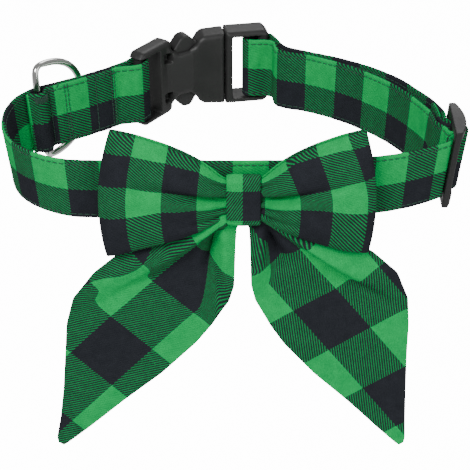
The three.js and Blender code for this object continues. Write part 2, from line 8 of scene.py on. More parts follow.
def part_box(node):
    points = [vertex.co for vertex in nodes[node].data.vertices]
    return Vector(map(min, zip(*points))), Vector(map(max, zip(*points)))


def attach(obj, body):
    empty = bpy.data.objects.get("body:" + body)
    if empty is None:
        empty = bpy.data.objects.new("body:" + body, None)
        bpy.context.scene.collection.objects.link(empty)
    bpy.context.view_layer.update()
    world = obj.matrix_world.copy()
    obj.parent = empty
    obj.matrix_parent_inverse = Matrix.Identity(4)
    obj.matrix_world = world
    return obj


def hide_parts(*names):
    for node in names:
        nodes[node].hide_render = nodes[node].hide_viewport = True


# Pet bow tie collar: plaid strap, sailor bow, plastic buckle and slider, wire ring.
# Everything is in metres; the pieces' dictionaries hold millimetres and shares.
mm = 0.001
# UV maps count the plaid's checks: even ones are black, odd ones green, and none is below zero
evenCheck = 40
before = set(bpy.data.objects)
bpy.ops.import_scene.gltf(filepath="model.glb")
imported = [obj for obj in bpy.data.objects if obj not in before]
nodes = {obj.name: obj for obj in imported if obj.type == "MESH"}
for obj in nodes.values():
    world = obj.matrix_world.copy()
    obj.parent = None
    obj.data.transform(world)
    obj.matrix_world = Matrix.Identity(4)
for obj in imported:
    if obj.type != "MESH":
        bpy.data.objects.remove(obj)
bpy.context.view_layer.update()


# The studio: a white room, bright to the eye but softly lit
studio = {"floorZ": -0.30, "floorSize": 6.0, "worldLight": 0.33, "backdrop": 14.0, "lens": 130.2,
          "pitch": 58.5, "camera": (0.0, -0.6155, 0.3230)}
studio["lights"] = [
    {"name": "key", "place": (-0.45, -0.85, 0.95), "size": 0.5, "power": 16.0},
    {"name": "fill", "place": (0.85, -0.65, 0.35), "size": 0.9, "power": 5.0},
    {"name": "back", "place": (0.25, 0.95, 0.85), "size": 0.7, "power": 5.6},
]


def seenOrLit(tree, lit):
    # the backdrop's brightness: high where it is looked at, low where it only lights the collar
    path = tree.nodes.new("ShaderNodeLightPath")
    return mathNode(tree, "MULTIPLY_ADD", path.outputs["Is Camera Ray"], studio["backdrop"] - lit, lit)


def makeStudio():
    world = bpy.data.worlds.new("paleRoom")
    bpy.context.scene.world = world
    world.use_nodes = True
    sky = world.node_tree.nodes["Background"]
    sky.inputs["Color"].default_value = (1, 1, 1, 1)
    world.node_tree.links.new(seenOrLit(world.node_tree, studio["worldLight"]), sky.inputs["Strength"])
    for light in studio["lights"]:
        data = bpy.data.lights.new(light["name"], "AREA")
        data.size = light["size"]
        data.energy = light["power"]
        lamp = bpy.data.objects.new(light["name"], data)
        lamp.location = light["place"]
        aim = Vector((0, 0, -0.03)) - lamp.location
        lamp.rotation_euler = aim.to_track_quat("-Z", "Y").to_euler()
        bpy.context.scene.collection.objects.link(lamp)
    bm = bmesh.new()
    bmesh.ops.create_grid(bm, x_segments=1, y_segments=1, size=studio["floorSize"] / 2)
    bmesh.ops.translate(bm, verts=bm.verts, vec=(0, 0, studio["floorZ"]))
    floor = newObject("floor", bm)
    paint, shader = newMaterial("paleFloor")
    shader.inputs["Base Color"].default_value = (0.85, 0.85, 0.85, 1)
    shader.inputs["Roughness"].default_value = 0.9
    shader.inputs["Emission Color"].default_value = (1, 1, 1, 1)
    paint.node_tree.links.new(seenOrLit(paint.node_tree, 0.0), shader.inputs["Emission Strength"])
    floor.data.materials.append(paint)
    camera = bpy.data.objects.new("camera", bpy.data.cameras.new("camera"))
    camera.data.lens = studio["lens"]
    camera.data.sensor_width = 36
    camera.location = studio["camera"]
    camera.rotation_euler = (math.radians(studio["pitch"]), 0, 0)
    bpy.context.scene.collection.objects.link(camera)
    bpy.context.scene.camera = camera


# Shared helpers
def newObject(name, bm, smooth=True):
    mesh = bpy.data.meshes.new(name)
    for face in bm.faces:
        face.smooth = smooth
    bm.to_mesh(mesh)
    bm.free()
    piece = bpy.data.objects.new(name, mesh)
    bpy.context.scene.collection.objects.link(piece)
    return piece


def addModifier(piece, kind, **settings):
    modifier = piece.modifiers.new(kind.lower(), kind)
    for key, value in settings.items():
        setattr(modifier, key, value)
    return modifier


def subdivide(piece, levels):
    addModifier(piece, "SUBSURF", levels=levels, render_levels=levels)


def easeStep(value, low, high):
    t = min(1.0, max(0.0, (value - low) / (high - low)))
    return t * t * (3 - 2 * t)


def bellAt(value, middle, width):
    return math.exp(-(((value - middle) / width) ** 2))


def rowAt(rows, key, value):
    # straight line between the two rows of a table that lie on either side of a value
    after = next((i for i, row in enumerate(rows) if row[key] >= value), len(rows) - 1)
    low, high = rows[max(0, after - 1)], rows[max(1, after)]
    share = (value - low[key]) / (high[key] - low[key])
    return {name: low[name] + (high[name] - low[name]) * share for name in low}


def clothGrid(name, columns, rows, place, cloth):
    # one grid, laid out by place(u, v); its UV map holds the cloth's own checks by cloth(u, v, side)
    bm = bmesh.new()
    layer = bm.loops.layers.uv.new("cloth")
    bmesh.ops.create_grid(bm, x_segments=columns, y_segments=rows, size=0.5)
    flat = {vert: (vert.co.x + 0.5, vert.co.y + 0.5) for vert in bm.verts}
    for face in bm.faces:
        side = sum(flat[vert][1] for vert in face.verts) / len(face.verts)
        for loop in face.loops:
            loop[layer].uv = cloth(*flat[loop.vert], side)
    for vert, (u, v) in flat.items():
        vert.co = place(u, v)
    bmesh.ops.remove_doubles(bm, verts=bm.verts, dist=1e-6)
    bmesh.ops.recalc_face_normals(bm, faces=bm.faces)
    return newObject(name, bm)


def mergedCopy(node):
    bm = bmesh.new()
    bm.from_mesh(nodes[node].data)
    bmesh.ops.remove_doubles(bm, verts=bm.verts, dist=1e-6)
    return bm


def finishPiece(piece, material, slot, body, *replaced):
    piece.data.materials.clear()
    piece.data.materials.append(material)
    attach(piece, body)
    if replaced:
        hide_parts(*replaced)


# Materials
def newMaterial(name):
    material = bpy.data.materials.new(name)
    material.use_nodes = True
    return material, material.node_tree.nodes["Principled BSDF"]


def mathNode(tree, operation, *values):
    node = tree.nodes.new("ShaderNodeMath")
    node.operation = operation
    for i, value in enumerate(values):
        if isinstance(value, (int, float)):
            node.inputs[i].default_value = value
        else:
            tree.links.new(value, node.inputs[i])
    return node.outputs[0]


def mixColor(tree, share, first, second, blend="MIX"):
    node = tree.nodes.new("ShaderNodeMix")
    node.data_type = "RGBA"
    node.blend_type = blend
    for socket, value in ((node.inputs[0], share), (node.inputs[6], first), (node.inputs[7], second)):
        if isinstance(value, (int, float, tuple)):
            socket.default_value = value
        else:
            tree.links.new(value, socket)
    return node.outputs[2]


def noiseNode(tree, vector, scale, detail=3.0, roughness=0.55):
    node = tree.nodes.new("ShaderNodeTexNoise")
    node.inputs["Scale"].default_value = scale
    node.inputs["Detail"].default_value = detail
    node.inputs["Roughness"].default_value = roughness
    tree.links.new(vector, node.inputs["Vector"])
    return node.outputs["Fac"]


def bumpNode(tree, height, distance, strength, shader):
    node = tree.nodes.new("ShaderNodeBump")
    node.inputs["Distance"].default_value = distance
    node.inputs["Strength"].default_value = strength
    tree.links.new(height, node.inputs["Height"])
    tree.links.new(node.outputs["Normal"], shader.inputs["Normal"])


# the groove entries set the painted shade on green ribs where they cross black ones
plaid = {"green": (0.0, 0.36, 0.082, 1), "black": (0.019, 0.021, 0.026, 1), "fuzzScale": 2600.0,
         "cloudScale": 260.0, "wobble": 0.012, "yarnsPerRib": 4.0, "yarnsOver": 1.5, "grooveShadePower": 1.8,
         "grooveShadeShare": 0.72, "grooveShadeLeast": 0.02, "ridgeDepth": 0.00012, "ridgeStrength": 0.55}


def plaidMaterial(name, yarnsAcross, yarnsAlong):
    # brushed twill: the UV map counts checks, odd ones green; warp and weft yarns show by turns
    material, shader = newMaterial(name)
    tree = material.node_tree
    uv = tree.nodes.new("ShaderNodeUVMap")
    uv.uv_map = "cloth"
    split = tree.nodes.new("ShaderNodeSeparateXYZ")
    tree.links.new(uv.outputs["UV"], split.inputs[0])
    place = tree.nodes.new("ShaderNodeTexCoord").outputs["Object"]
    across, along = split.outputs[0], split.outputs[1]
    fuzz = noiseNode(tree, place, plaid["fuzzScale"], 2.0)
    cloudy = noiseNode(tree, place, plaid["cloudScale"], 3.0)
    wobble = mathNode(tree, "MULTIPLY", mathNode(tree, "SUBTRACT", fuzz, 0.5), plaid["wobble"])
    across = mathNode(tree, "ADD", across, wobble)
    along = mathNode(tree, "ADD", along, wobble)
    warpGreen = mathNode(tree, "FLOORED_MODULO", mathNode(tree, "FLOOR", across), 2.0)
    weftGreen = mathNode(tree, "FLOORED_MODULO", mathNode(tree, "FLOOR", along), 2.0)
    warpYarn = mathNode(tree, "FLOOR", mathNode(tree, "MULTIPLY", across, yarnsAcross))
    weftYarn = mathNode(tree, "FLOOR", mathNode(tree, "MULTIPLY", along, yarnsAlong))
    step = mathNode(tree, "FLOORED_MODULO", mathNode(tree, "ADD", warpYarn, weftYarn), plaid["yarnsPerRib"])
    warpOver = mathNode(tree, "LESS_THAN", step, plaid["yarnsOver"])
    # the same ribs without the steps of single yarns, for their rounding
    ribs = mathNode(tree, "ADD", mathNode(tree, "MULTIPLY", across, yarnsAcross),
                    mathNode(tree, "MULTIPLY", along, yarnsAlong))
    turn = mathNode(tree, "MULTIPLY", mathNode(tree, "SUBTRACT", ribs, plaid["yarnsOver"]), math.pi / 2)
    ridge = mathNode(tree, "MULTIPLY_ADD", mathNode(tree, "COSINE", turn), 0.5, 0.5)
    warpShare = mathNode(tree, "MULTIPLY", warpGreen, warpOver)
    weftShare = mathNode(tree, "MULTIPLY", weftGreen, mathNode(tree, "SUBTRACT", 1.0, warpOver))
    greenShare = mathNode(tree, "ADD", warpShare, weftShare)
    bothGreen = mathNode(tree, "MULTIPLY", warpGreen, weftGreen)
    # where green and black cross, the green ribs are painted darker from their crests to their flanks:
    # painted shade of the grooves between the black ribs, which also makes the green lines thinner
    greenRidge = mathNode(tree, "ABSOLUTE", mathNode(tree, "SUBTRACT", ridge,
                          mathNode(tree, "SUBTRACT", 1.0, warpGreen)))
    grooveShaded = mathNode(tree, "MULTIPLY_ADD", mathNode(tree, "POWER", greenRidge, plaid["grooveShadePower"]),
                    plaid["grooveShadeShare"], plaid["grooveShadeLeast"])
    weight = mathNode(tree, "MAXIMUM", grooveShaded, bothGreen)
    greenShare = mathNode(tree, "MULTIPLY", greenShare, weight)
    color = mixColor(tree, greenShare, plaid["black"], plaid["green"])
    shade = mathNode(tree, "MULTIPLY_ADD", cloudy, 0.5, 0.75)
    shade = mathNode(tree, "MULTIPLY", shade, mathNode(tree, "MULTIPLY_ADD", fuzz, 0.9, 0.55))
    gray = tree.nodes.new("ShaderNodeCombineColor")
    for channel in gray.inputs:
        tree.links.new(shade, channel)
    tree.links.new(mixColor(tree, 1.0, color, gray.outputs[0], "MULTIPLY"), shader.inputs["Base Color"])
    shader.inputs["Roughness"].default_value = 0.92
    shader.inputs["Specular IOR Level"].default_value = 0.04
    height = mathNode(tree, "MULTIPLY_ADD", fuzz, 0.8, ridge)
    bumpNode(tree, height, plaid["ridgeDepth"], plaid["ridgeStrength"], shader)
    return material


def plasticMaterial(name, base):
    material, shader = newMaterial(name)
    tree = material.node_tree
    place = tree.nodes.new("ShaderNodeTexCoord").outputs["Object"]
    grain = noiseNode(tree, place, 2400.0, 2.0)
    cloudy = noiseNode(tree, place, 90.0, 4.0)
    dark = tuple(value * 0.75 for value in base) + (1,)
    light = tuple(value * 1.3 for value in base) + (1,)
    tree.links.new(mixColor(tree, cloudy, dark, light), shader.inputs["Base Color"])
    tree.links.new(mathNode(tree, "MULTIPLY_ADD", cloudy, 0.22, 0.36), shader.inputs["Roughness"])
    shader.inputs["Specular IOR Level"].default_value = 0.35
    bumpNode(tree, grain, 0.00006, 0.3, shader)
    return material


def nickelMaterial():
    material, shader = newMaterial("polishedNickel")
    tree = material.node_tree
    place = tree.nodes.new("ShaderNodeTexCoord").outputs["Object"]
    cloudy = noiseNode(tree, place, 300.0, 4.0)
    scratches = noiseNode(tree, place, 4200.0, 1.0)
    tree.links.new(mixColor(tree, cloudy, (0.62, 0.62, 0.60, 1), (0.80, 0.80, 0.78, 1)),
                   shader.inputs["Base Color"])
    tree.links.new(mathNode(tree, "MULTIPLY_ADD", cloudy, 0.12, 0.08), shader.inputs["Roughness"])
    shader.inputs["Metallic"].default_value = 1.0
    bumpNode(tree, scratches, 0.00002, 0.15, shader)
    return material


def threadMaterial(name, base):
    material, shader = newMaterial(name)
    tree = material.node_tree
    place = tree.nodes.new("ShaderNodeTexCoord").outputs["Object"]
    twist = noiseNode(tree, place, 3500.0, 2.0)
    dark = tuple(value * 0.55 for value in base) + (1,)
    light = tuple(value * 1.35 for value in base) + (1,)
    tree.links.new(mixColor(tree, twist, dark, light), shader.inputs["Base Color"])
    shader.inputs["Roughness"].default_value = 0.75
    shader.inputs["Sheen Weight"].default_value = 0.1
    bumpNode(tree, twist, 0.00005, 0.5, shader)
    return material


# Collar strap: its route and lean are read off the frame's own ribbon
strap = {"thickness": 1.8, "height": 25.0, "station": 1.0, "faceSteps": 26, "edgeRound": 0.85,
         "grooveInset": 1.7, "grooveWidth": 0.45, "grooveDepth": 0.22, "check": 12.7, "waviness": 0.16,
         "rippleScale": 260.0, "frontY": -55.0, "seamWidth": 0.9, "seamDepth": 0.34,
         "yarns": (28, 43)}
# Where the photographed checks meet along the strap, from the front's middle, in millimetres
strap["checks"] = [
    {"along": -260.0, "count": -18.2},
    {"along": -242.7, "count": -17.0},
    {"along": -227.3, "count": -16.0},
    {"along": -214.8, "count": -15.0},
    {"along": -201.8, "count": -14.0},
    {"along": -124.6, "count": -8.0},
    {"along": -90.2, "count": -6.0},
    {"along": -79.0, "count": -5.0},
    {"along": -64.4, "count": -4.0},
    {"along": -1.1, "count": 1.0},
    {"along": 53.4, "count": 5.0},
    {"along": 79.1, "count": 7.0},
    {"along": 239.0, "count": 19.0},
    {"along": 258.4, "count": 20.0},
    {"along": 271.1, "count": 21.0},
    {"along": 343.5, "count": 26.0},
    {"along": 400.0, "count": 30.4},
]
# Seams sewn across the folded end that holds the ring
strap["seams"] = (-214.2, -215.8, -223.4, -236.4, -237.8, -245.0)


def ribbonRails(node, side):
    # the ribbon's upper (side 1) or lower (side -1) edge as two rails of facing points
    bm = mergedCopy(node)
    level = side * strap["height"] / 2 * mm
    strip = [face for face in bm.faces if all(abs(v.co.z - level) < 1e-5 for v in face.verts)]
    inStrip = set(strip)
    bm.edges.index_update()
    rim = {edge for face in strip for edge in face.edges
           if sum(linked in inStrip for linked in edge.link_faces) == 1}
    start = min(rim, key=lambda edge: edge.index)
    order = [start.verts[0], start.verts[1]]
    rim.discard(start)
    while rim:
        step = next(edge for edge in order[-1].link_edges if edge in rim)
        rim.discard(step)
        order.append(step.other_vert(order[-1]))
    ring = [vert.co.copy() for vert in order[:-1]]
    bm.free()
    half = len(ring) // 2

    def spread(turn):
        return sum((ring[(turn + i) % len(ring)] - ring[turn - 1 - i]).length for i in range(half))

    turn = min(range(len(ring)), key=spread)
    return [(ring[(turn + i) % len(ring)], ring[turn - 1 - i]) for i in range(half)]


def strapStations():
    upper = ribbonRails("collar_strap", 1)
    lower = ribbonRails("collar_strap", -1)
    if (upper[0][0] - lower[0][0]).length > (upper[0][0] - lower[-1][0]).length:
        lower.reverse()
    stations = []
    for (a, b), (c, d) in zip(upper, lower):
        stations.append({"top": (a + b) / 2, "bottom": (c + d) / 2, "out": (a - b).normalized()})
    # from the end folded behind the ring, round the front, to the end sewn at the slider
    if stations[0]["top"].x > stations[-1]["top"].x:
        stations.reverse()
    return stations


def resample(stations, spacing):
    # evenly spaced stations on a smooth curve through the ribbon's own
    tops = [row["top"] for row in stations]
    reach = [0.0]
    for before, after in zip(tops, tops[1:]):
        reach.append(reach[-1] + (after - before).length)
    count = int(reach[-1] / spacing)
    result = []
    index = 0
    for i in range(count + 1):
        target = reach[-1] * i / count
        while index < len(reach) - 2 and reach[index + 1] < target:
            index += 1
        share = (target - reach[index]) / (reach[index + 1] - reach[index])
        near = [stations[min(max(index + k, 0), len(stations) - 1)] for k in (-1, 0, 1, 2)]
        weights = catmullWeights(share)
        row = {key: sum((part[key] * weight for part, weight in zip(near, weights)), Vector())
               for key in ("top", "bottom", "out")}
        row["reach"] = target
        result.append(row)
    for before, row, after in zip([result[0]] + result, result, result[1:] + [result[-1]]):
        row["ahead"] = (after["top"] - before["top"]).normalized()
        outward = row["ahead"].cross(row["top"] - row["bottom"]).normalized()
        row["out"] = row["out"].normalized() * (1 if row["out"].dot(outward) > 0 else -1)
    return result


def catmullWeights(t):
    return (-0.5 * t + t * t - 0.5 * t ** 3, 1 - 2.5 * t * t + 1.5 * t ** 3,
            0.5 * t + 2 * t * t - 1.5 * t ** 3, -0.5 * t * t + 0.5 * t ** 3)


def strapSection(turn):
    # once round the section: up one face and down the other; gives height share and side offset
    face = -1 if turn < 0.5 else 1
    t = turn * 2 if turn < 0.5 else 2 - turn * 2
    half = strap["height"] / 2
    height = -half * math.cos(math.pi * t)
    thick = strap["thickness"] / 2
    beyond = (abs(height) - (half - strap["edgeRound"])) / strap["edgeRound"]
    offset = thick * (math.sqrt(max(0.0, 1 - beyond * beyond)) if beyond > 0 else 1.0)
    groove = bellAt(abs(height), half - strap["grooveInset"], strap["grooveWidth"])
    return height / half, face * (offset - strap["grooveDepth"] * groove)


def makeStrap(material):
    stations = resample(strapStations(), strap["station"] * mm)
    front = strap["frontY"] * mm
    middle = min(stations, key=lambda row: (row["top"] - Vector((0, front, row["top"].z))).length)
    last = len(stations) - 1

    def place(u, v):
        row = stations[round(u * last)]
        share, offset = strapSection(v)
        point = row["bottom"].lerp(row["top"], 0.5 + 0.5 * share)
        ripple = noise.noise(point * strap["rippleScale"]) * strap["waviness"] * mm
        along = (row["reach"] - middle["reach"]) / mm
        if offset > 0:
            dips = [bellAt(along, seam, strap["seamWidth"]) for seam in strap["seams"]]
            offset -= strap["seamDepth"] * max(dips)
        return point + row["out"] * offset * mm + Vector((0, 0, ripple * abs(share)))

    def cloth(u, v, side):
        # both faces are the cloth's right side, so the twill runs the same way on each
        row = stations[round(u * last)]
        share, _ = strapSection(v)
        along = (row["reach"] - middle["reach"]) / mm
        count = rowAt(strap["checks"], "along", along)["count"]
        rise = share * strap["height"] / 2 / strap["check"]
        return evenCheck + count, evenCheck + 1 + (rise if side > 0.5 else -rise)

    piece = clothGrid("strap_cloth", last, 2 * strap["faceSteps"], place, cloth)
    closeEnds(piece)
    finishPiece(piece, material, "plaid_cloth", "collar", "collar_strap")
    return stations, middle


def closeEnds(piece):
    bm = bmesh.new()
    bm.from_mesh(piece.data)
    bmesh.ops.holes_fill(bm, edges=[edge for edge in bm.edges if edge.is_boundary], sides=0)
    bmesh.ops.recalc_face_normals(bm, faces=bm.faces)
    for face in bm.faces:
        face.smooth = True
    bm.to_mesh(piece.data)
    bm.free()


# Topstitching: one thread along each edge of each face, which dips into the cloth between stitches
stitches = {"pitch": 2.6, "radius": 0.2, "rise": 0.16, "dip": 0.42, "step": 0.43, "round": 6,
            "endShare": 0.004, "shade": (0.012, 0.06, 0.035)}


def threadTube(name, route, steps):
    # route(share) gives the thread's place and two directions across it
    def place(u, v):
        middle, side, over = route(u)
        turn = 2 * math.pi * v
        offset = side * math.cos(turn) + over * math.sin(turn)
        return middle + offset * stitches["radius"] * mm

    return clothGrid(name, steps, stitches["round"], place, lambda u, v, _: (u, v))


def stationAt(stations, along):
    # the strap's own frame at a distance from its folded end
    share = min(max(along / stations[-1]["reach"], 0.0), 1.0) * (len(stations) - 1)
    low = min(int(share), len(stations) - 2)
    return {key: stations[low][key].lerp(stations[low + 1][key], share - low)
            for key in ("top", "bottom", "out", "ahead")}


def makeStitches(stations, middle, material):
    total = stations[-1]["reach"]
    level = 1 - 2 * strap["grooveInset"] / strap["height"]
    threads = []
    for edge in (-level, level):
        for face in (-1, 1):
            def route(share, edge=edge, face=face):
                along = total * (stitches["endShare"] + (1 - 2 * stitches["endShare"]) * share)
                row = stationAt(stations, along)
                wave = math.cos(2 * math.pi * along / mm / stitches["pitch"])
                high = strap["thickness"] / 2 - strap["grooveDepth"] + stitches["rise"]
                high -= stitches["dip"] * max(0.0, -wave) ** 2
                point = row["bottom"].lerp(row["top"], 0.5 + 0.5 * edge) + row["out"] * face * high * mm
                return point, (row["top"] - row["bottom"]).normalized(), row["out"] * face

            threads.append(threadTube("topstitch", route, int(total / mm / stitches["step"])))
    threads += crossSeams(stations, middle)
    joined = joinPieces("strap_stitches", threads)
    finishPiece(joined, material, "plaid_cloth", "collar")
    print("topstitching sewn")


# The seams across the folded end, the tack over the ring and two loose thread ends
crossings = {"pitch": 2.1, "steps": 60, "tackFrom": -254.6, "tackTo": -247.6, "tackLevel": 0.80,
             "tackHeight": 0.11, "tackTurns": 10, "tackRise": 0.1, "reach": 0.97, "tailLevel": 0.94,
             "tailLength": 1.9, "tailBend": 0.5, "tailCurl": 2.4}
crossings["tails"] = (-241.3, -219.0)


def crossSeams(stations, middle):
    face = strap["thickness"] / 2 - strap["seamDepth"] + stitches["rise"]

    def onFace(along, share, high):
        row = stationAt(stations, middle["reach"] + along * mm)
        return row["bottom"].lerp(row["top"], 0.5 + 0.5 * share) + row["out"] * high * mm, row

    def across(share, seam):
        high = face - stitches["dip"] * max(0.0, -math.cos(math.pi * share * strap["height"])) ** 2
        point, row = onFace(seam, crossings["reach"] * (2 * share - 1), high)
        return point, row["ahead"], row["out"]

    def tack(share):
        along = crossings["tackFrom"] + (crossings["tackTo"] - crossings["tackFrom"]) * share
        swing = math.sin(2 * math.pi * crossings["tackTurns"] * share)
        point, row = onFace(along, crossings["tackLevel"] + crossings["tackHeight"] * swing,
                            strap["thickness"] / 2 + crossings["tackRise"])
        return point, row["ahead"], row["out"]

    def looseEnd(share, along):
        point, row = onFace(along, crossings["tailLevel"], strap["thickness"] / 2)
        upward = (row["top"] - row["bottom"]).normalized()
        bend = crossings["tailBend"] * math.sin(crossings["tailCurl"] * share) * mm
        point = point + upward * share * crossings["tailLength"] * mm + row["ahead"] * bend
        return point, row["ahead"], row["out"]

    threads = [threadTube("seam", lambda t, seam=seam: across(t, seam), crossings["steps"])
               for seam in strap["seams"]]
    threads += [threadTube("loose_end", lambda t, along=along: looseEnd(t, along), 10)
                for along in crossings["tails"]]
    threads.append(threadTube("tack", tack, 24 * crossings["tackTurns"]))
    return threads


def joinPieces(name, parts):
    bm = bmesh.new()
    for part in parts:
        bm.from_mesh(part.data)
        bpy.data.meshes.remove(part.data)
    return newObject(name, bm)


# Bow: the wings' loop, its knot and the two tails
bow = {"centerX": 3.2, "centerZ": -1.5}
wings = {"columns": 210, "rows": 56, "halfHeight": 27.0, "rise": 3.2, "puff": 3.0, "bulge": 0.068,
         "bulgeLevel": -0.2, "wall": 0.9, "pinch": 1.2, "foldShare": 0.9, "seam": 0.95, "softness": 0.035,
         "flatness": 3.2, "deepest": 1.75, "fullFront": 0.9, "dents": 0.6, "lean": 0.32, "droop": 1.6,
         "lastRow": 1.98, "footRow": 0.97, "yarns": (30, 49)}
wings["shape"] = [
    {"along": 0.0, "top": 0.32, "bottom": 0.32, "rise": 0.0, "puff": 0.0},
    {"along": 0.145, "top": 0.33, "bottom": 0.33, "rise": 0.0, "puff": 0.0},
    {"along": 0.22, "top": 0.43, "bottom": 0.43, "rise": 0.3, "puff": 0.5},
    {"along": 0.32, "top": 0.56, "bottom": 0.56, "rise": 0.5, "puff": 0.85},
    {"along": 0.45, "top": 0.68, "bottom": 0.68, "rise": 0.7, "puff": 1.0},
    {"along": 0.60, "top": 0.79, "bottom": 0.80, "rise": 0.85, "puff": 0.95},
    {"along": 0.80, "top": 0.91, "bottom": 0.94, "rise": 0.95, "puff": 0.7},
    {"along": 1.0, "top": 1.0, "bottom": 1.0, "rise": 1.0, "puff": 0.45},
]
# creases that run out from the knot: height share at the knot and farther out, the share along by
# which they get there, depth, the width above and below, and how far out they fade
wings["creases"] = [
    {"near": -0.05, "far": 0.2, "by": 0.7, "depth": 6.4, "above": 0.14, "below": 0.05, "fade": 0.9},
    {"near": 0.62, "far": 0.58, "by": 0.42, "depth": 1.3, "above": 0.10, "below": 0.10, "fade": 0.42},
    {"near": -0.42, "far": -0.26, "by": 0.42, "depth": 1.7, "above": 0.08, "below": 0.08, "fade": 0.40},
    {"near": -0.75, "far": -0.62, "by": 0.42, "depth": 2.2, "above": 0.10, "below": 0.07, "fade": 0.55},
]
wings["checksAcross"] = [
    {"along": -1.0, "count": -3.8},
    {"along": -0.807, "count": -3.0},
    {"along": -0.322, "count": -1.0},
    {"along": -0.124, "count": -0.2},
    {"along": 0.124, "count": -1.15},
    {"along": 0.428, "count": 0.0},
    {"along": 0.667, "count": 1.0},
    {"along": 0.933, "count": 2.0},
    {"along": 1.0, "count": 2.27},
]
# heights where the rows of checks change; the big crease swallows part of the row below the middle
wings["rowLines"] = [
    {"along": -1.0, "upper": 20.2, "middle": 6.4, "lower": -7.4},
    {"along": -0.82, "upper": 20.0, "middle": 7.0, "lower": -6.1},
    {"along": -0.57, "upper": 17.5, "middle": 4.8, "lower": -2.2},
    {"along": -0.34, "upper": 13.2, "middle": 1.8, "lower": -2.0},
    {"along": -0.15, "upper": 6.2, "middle": -1.2, "lower": -4.6},
    {"along": 0.15, "upper": 6.2, "middle": -1.0, "lower": -4.2},
    {"along": 0.41, "upper": 16.4, "middle": 2.2, "lower": -1.0},
    {"along": 0.56, "upper": 19.2, "middle": 4.4, "lower": -1.4},
    {"along": 0.78, "upper": 21.8, "middle": 8.0, "lower": -3.7},
    {"along": 1.0, "upper": 23.4, "middle": 10.0, "lower": -4.8},
]


def easedRow(rows, along):
    # the same table with its corners rounded by averaging either side of a place
    places = [min(1.0, max(0.0, along + wings["softness"] * k)) for k in (-1, 0, 1)]
    samples = [rowAt(rows, "along", place) for place in places]
    return {name: (samples[0][name] + 2 * samples[1][name] + samples[2][name]) / 4 for name in samples[0]}


def creasePress(u, level):
    # how far the creases press a place of the wing's front back, in millimetres
    press = 0.0
    for crease in wings["creases"]:
        inner = 1 - easeStep(abs(u), 0.1, crease["by"])
        middle = crease["far"] + (crease["near"] - crease["far"]) * inner
        # wider farther out, gone at the fade and inside the knot
        width = (crease["above"] if level > middle else crease["below"]) * (0.8 + 0.5 * abs(u))
        fade = (1 - easeStep(abs(u), 0.12, crease["fade"])) * easeStep(abs(u), 0.06, 0.17)
        press += crease["depth"] * math.exp(-abs((level - middle) / width) ** 1.5) * fade
    return press


def makeWings(material):
    low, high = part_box("bow_wings")
    centerX, centerZ = bow["centerX"] * mm, bow["centerZ"] * mm
    leftSpan, rightSpan = centerX - low.x, high.x - centerX
    back = high.y

    def place(t, v):
        u = -math.cos(2 * math.pi * t)
        side = -1 if t <= 0.5 else 1
        level = 2 * v - 1
        row = easedRow(wings["shape"], abs(u))
        edge = row["top"] if level > 0 else row["bottom"]
        height = (level * edge * wings["halfHeight"] + row["rise"] * wings["rise"]) * mm
        height -= wings["droop"] * easeStep(-u, 0.75, 1.0) * min(0.0, level) ** 2 * mm
        span = rightSpan if u > 0 else leftSpan
        reach = span * (1 - wings["bulge"] * (level - wings["bulgeLevel"]) ** 2)
        beyond = max(0.0, (abs(u) - wings["foldShare"]) / (1 - wings["foldShare"]))
        turn = math.sqrt(max(0.0, 1 - beyond * beyond))
        closed = math.sqrt(max(0.0, 1 - abs(level) ** wings["flatness"]))
        full = wings["seam"] + (wings["pinch"] + row["puff"] * wings["puff"] - wings["seam"]) * closed
        y = -full + side * full * turn
        if side < 0:
            dents = noise.noise(Vector((u * 5, level * 3, 1.7))) * wings["dents"]
            y += min(creasePress(u, level), wings["deepest"] * full) * turn
            y -= wings["fullFront"] * closed * easeStep(abs(u), 0.2, 0.5) * (1 - beyond)
            y += dents * closed * easeStep(abs(u), 0.15, 0.4)
        return Vector((centerX + u * reach, back + y * mm, centerZ + height))

    def cloth(t, v, _):
        u = -math.cos(2 * math.pi * t)
        level = 2 * v - 1
        count = rowAt(wings["checksAcross"], "along", u)["count"]
        if u > 0:
            count += wings["lean"] * max(0.0, level) ** 1.3
        row = easedRow(wings["shape"], abs(u))
        edge = row["top"] if level > 0 else row["bottom"]
        z = bow["centerZ"] + level * edge * wings["halfHeight"] + row["rise"] * wings["rise"]
        lines = rowAt(wings["rowLines"], "along", u)
        if z > lines["middle"]:
            rise = min(wings["lastRow"], (z - lines["middle"]) / (lines["upper"] - lines["middle"]))
        elif z > lines["lower"]:
            rise = (z - lines["middle"]) / (lines["middle"] - lines["lower"])
        else:
            foot = bow["centerZ"] - row["bottom"] * wings["halfHeight"] + row["rise"] * wings["rise"]
            rise = -1 - wings["footRow"] * (lines["lower"] - z) / (lines["lower"] - foot)
        return evenCheck + count, evenCheck + rise

    piece = clothGrid("wing_cloth", wings["columns"], wings["rows"], place, cloth)
    addModifier(piece, "SOLIDIFY", thickness=wings["wall"] * mm, offset=-1.0, use_even_offset=True)
    subdivide(piece, 1)
    finishPiece(piece, material, "plaid_cloth", "collar", "bow_wings")
    print("wings laid out")


knot = {"columns": 72, "rows": 18, "wall": 1.0, "round": 2.6, "check": 12.8, "splitX": 2.9, "splitZ": 3.6,
        "edgeRound": 0.35, "edgeWidth": 0.07, "waves": 0.28, "sag": 0.35}


